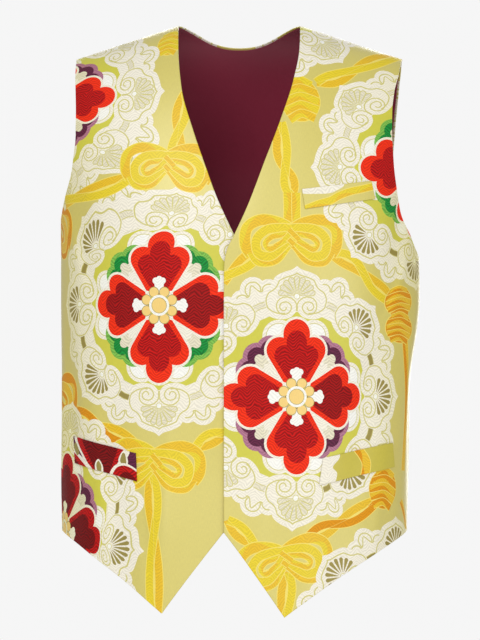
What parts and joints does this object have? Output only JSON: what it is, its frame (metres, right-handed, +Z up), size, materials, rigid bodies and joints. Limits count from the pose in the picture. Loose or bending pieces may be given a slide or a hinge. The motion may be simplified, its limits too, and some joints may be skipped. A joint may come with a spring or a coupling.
{
  "type": "waistcoat",
  "caption": "Figured brocade waistcoat with a deep V neck, pointed fronts and welt pockets, shown filled out as if worn.",
  "frame": {"origin": "between the two neck points, on the ridge of the shoulders, where the wearer holds the waistcoat up", "axes": "+Z up, the front faces -Y, the wearer's left is +X"},
  "size_m": [0.3827, 0.2408, 0.6301],
  "materials": {
    "brocade": "satin ground with raised figures in coloured and metallic threads",
    "lining": "plain satin"
  },
  "bodies": {
    "root": {"front_right": "brocade", "front_left": "brocade", "back_right": "brocade", "back_left": "brocade", "lining_front_right": "lining", "lining_front_left": "lining", "lining_back": "lining", "breast_welt": "brocade", "pocket_welt_right": "brocade", "pocket_welt_left": "brocade"}
  },
  "joints": []
}
